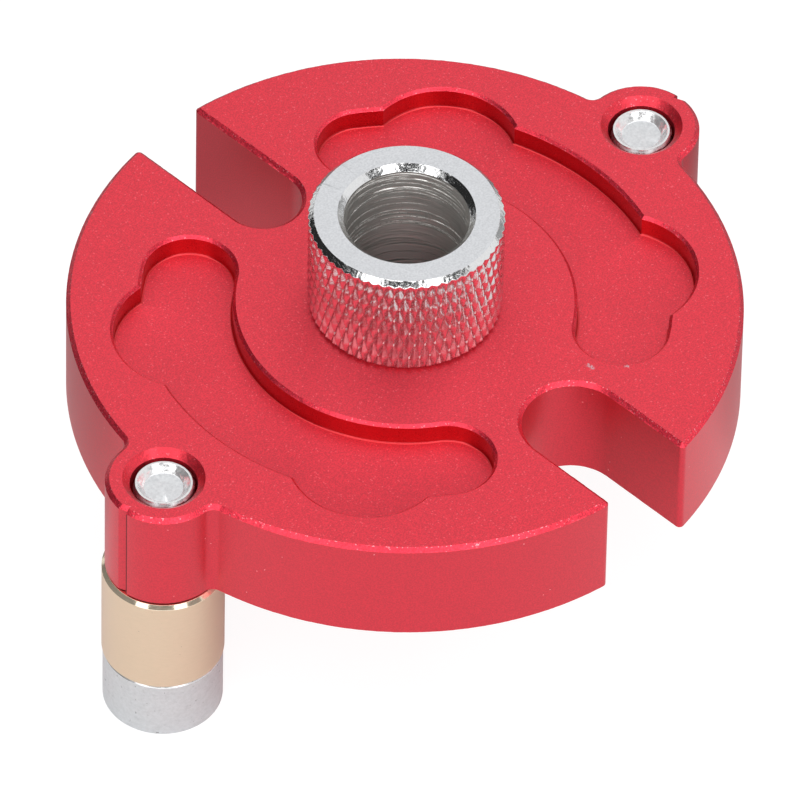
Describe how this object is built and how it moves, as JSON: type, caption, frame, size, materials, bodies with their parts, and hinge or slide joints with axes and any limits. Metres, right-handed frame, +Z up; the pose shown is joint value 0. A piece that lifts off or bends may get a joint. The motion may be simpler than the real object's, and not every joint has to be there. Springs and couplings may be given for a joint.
{
  "type": "self centering doweling jig",
  "caption": "Anodised disc doweling jig: two roller legs straddle a board's edge and turn until both touch, centring a removable drill bush; open slots slip over dowels.",
  "frame": {"origin": "on the drill axis, level with the ends of the two legs, which is the bottom centre of the part's box", "axes": "+Z up along the drill axis, the way the drill comes out; +X from the left leg to the right leg; the small dowel slot opens towards +Y and the large one towards -Y"},
  "size_m": [0.0654, 0.0544, 0.0357],
  "materials": {
    "red_anodised_aluminium": "bead-blasted and anodised red",
    "plated_steel": "plated, knurled head with a satin top and polished chamfers",
    "pin_steel": "fine turned",
    "sleeve_brass": "satin turned with polished chamfers"
  },
  "bodies": {
    "jig": {"jig_body": "red_anodised_aluminium", "leg_pin_left": "pin_steel", "leg_pin_right": "pin_steel"},
    "bush": {"guide_bush": "plated_steel"},
    "left_roller": {"leg_sleeve_left": "sleeve_brass"},
    "right_roller": {"leg_sleeve_right": "sleeve_brass"}
  },
  "joints": [
    {"name": "bush_lift", "type": "slide", "parent": "jig", "child": "bush", "axis": [0, 0, 1], "range_m": [0, 0.015]},
    {"name": "left_roller_turn", "type": "hinge", "parent": "jig", "child": "left_roller", "pos_m": [-0.02775, 0, 0.0106], "axis": [0, 0, 1], "continuous": true},
    {"name": "right_roller_turn", "type": "hinge", "parent": "jig", "child": "right_roller", "pos_m": [0.02775, 0, 0.0106], "axis": [0, 0, 1], "continuous": true}
  ]
}
